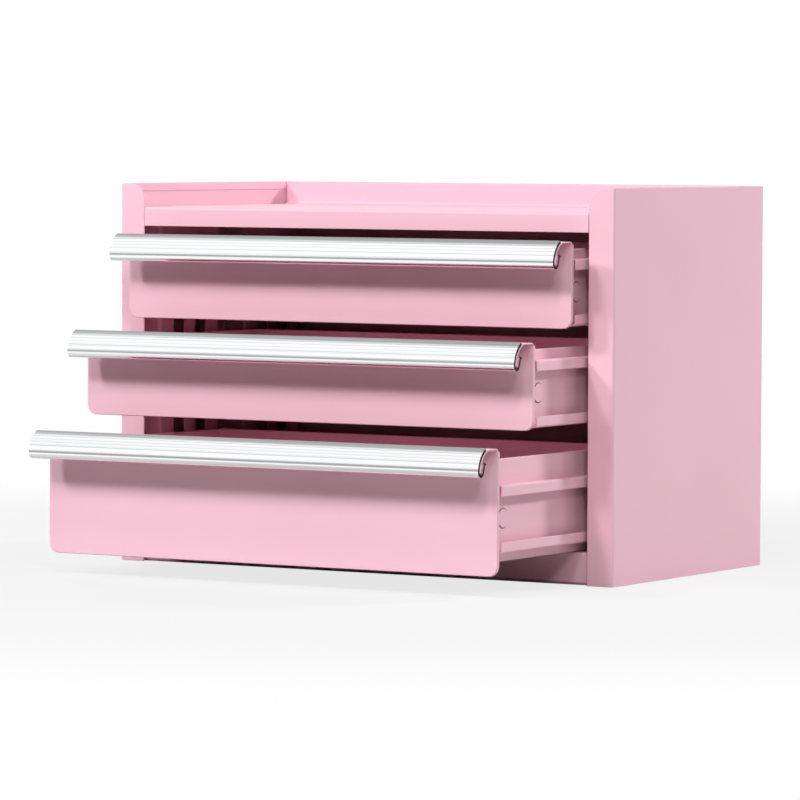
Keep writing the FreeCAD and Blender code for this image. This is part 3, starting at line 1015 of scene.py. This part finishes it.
def floor_sheet(near_colour, far_colour):
    """Round paper floor, a hair below the chest."""
    work = bmesh.new()
    bmesh.ops.create_circle(work, cap_ends=True, segments=FLOOR_SIDES, radius=FLOOR_RADIUS)
    bmesh.ops.translate(work, verts=work.verts, vec=(0, 0, -FLOOR_DROP))
    mesh = bpy.data.meshes.new("paper_floor")
    work.to_mesh(mesh)
    work.free()
    mesh.materials.append(studio_paper(near_colour, far_colour))
    linked_object("paper_floor", mesh)


# Operators, panel and registration


class CHEST_OT_coat_cabinet(bpy.types.Operator):
    """Coat the sheets of the cabinet: shell, tray, uprights and rails"""

    bl_idname = "chest.coat_cabinet"
    bl_label = "Coat cabinet"

    def execute(self, context):
        coat_body(CABINET)
        return {"FINISHED"}


class CHEST_OT_coat_drawers(bpy.types.Operator):
    """Coat the box, the front and the slide channels of each drawer"""

    bl_idname = "chest.coat_drawers"
    bl_label = "Coat drawers"

    def execute(self, context):
        for body in sorted(frame["bodies"]):
            if body != CABINET:
                coat_body(body)
        return {"FINISHED"}


class CHEST_OT_sweep_handles(bpy.types.Operator):
    """Sweep the fluted aluminium strip of each drawer"""

    bl_idname = "chest.sweep_handles"
    bl_label = "Sweep handles"

    def execute(self, context):
        tree = strip_nodes(drawn_aluminium(), sawn_aluminium())
        for node_name in sorted(frame["nodes"]):
            if node_name.endswith(HANDLE_END):
                sweep_handle(node_name, tree)
        return {"FINISHED"}


class CHEST_OT_set_stage(bpy.types.Operator):
    """Set up the floor, the lamps, the surround and the camera"""

    bl_idname = "chest.set_stage"
    bl_label = "Set stage"

    def execute(self, context):
        stage = context.scene.chest_stage
        context.scene.view_settings.view_transform = "Standard"
        size = (stage.lamp_width, stage.lamp_height)
        for name, watts, azimuth, elevation, in_gloss in LAMPS:
            place = from_front(azimuth, elevation, stage.lamp_distance, LIT_POINT)
            lamp = soft_lamp(name, watts * stage.light, size, place, LIT_POINT)
            lamp.visible_glossy = in_gloss
        studio_world(stage.surround)
        floor_sheet(stage.floor_colour, stage.far_colour)
        photo_camera()
        return {"FINISHED"}


class CHEST_PT_sidebar(bpy.types.Panel):
    """Buttons and settings of the chest's pieces"""

    bl_idname = "CHEST_PT_sidebar"
    bl_label = "Tool chest"
    bl_space_type = "VIEW_3D"
    bl_region_type = "UI"
    bl_category = "Tool chest"

    def draw(self, context):
        scene = context.scene
        groups = (
            (scene.chest_coat, ("chest.coat_cabinet", "chest.coat_drawers")),
            (scene.chest_button, ()),
            (scene.chest_handle, ("chest.sweep_handles",)),
            (scene.chest_stage, ("chest.set_stage",)),
        )
        for settings, operators in groups:
            column = self.layout.box().column()
            for name in settings.bl_rna.properties.keys():
                if name not in ("rna_type", "name"):
                    column.prop(settings, name)
            for operator in operators:
                column.operator(operator)


GROUPS = {
    "chest_coat": CoatSettings,
    "chest_button": ButtonSettings,
    "chest_handle": HandleSettings,
    "chest_stage": StageSettings,
}
CLASSES = (
    CHEST_OT_coat_cabinet,
    CHEST_OT_coat_drawers,
    CHEST_OT_sweep_handles,
    CHEST_OT_set_stage,
    CHEST_PT_sidebar,
)


def register():
    for name, group in GROUPS.items():
        bpy.utils.register_class(group)
        setattr(bpy.types.Scene, name, PointerProperty(type=group))
    for kind in CLASSES:
        bpy.utils.register_class(kind)


def unregister():
    for kind in reversed(CLASSES):
        bpy.utils.unregister_class(kind)
    for name, group in reversed(GROUPS.items()):
        delattr(bpy.types.Scene, name)
        bpy.utils.unregister_class(group)


def main():
    register()
    bpy.ops.chest.coat_cabinet()
    bpy.ops.chest.coat_drawers()
    bpy.ops.chest.sweep_handles()
    bpy.ops.chest.set_stage()


if __name__ == "__main__":
    main()
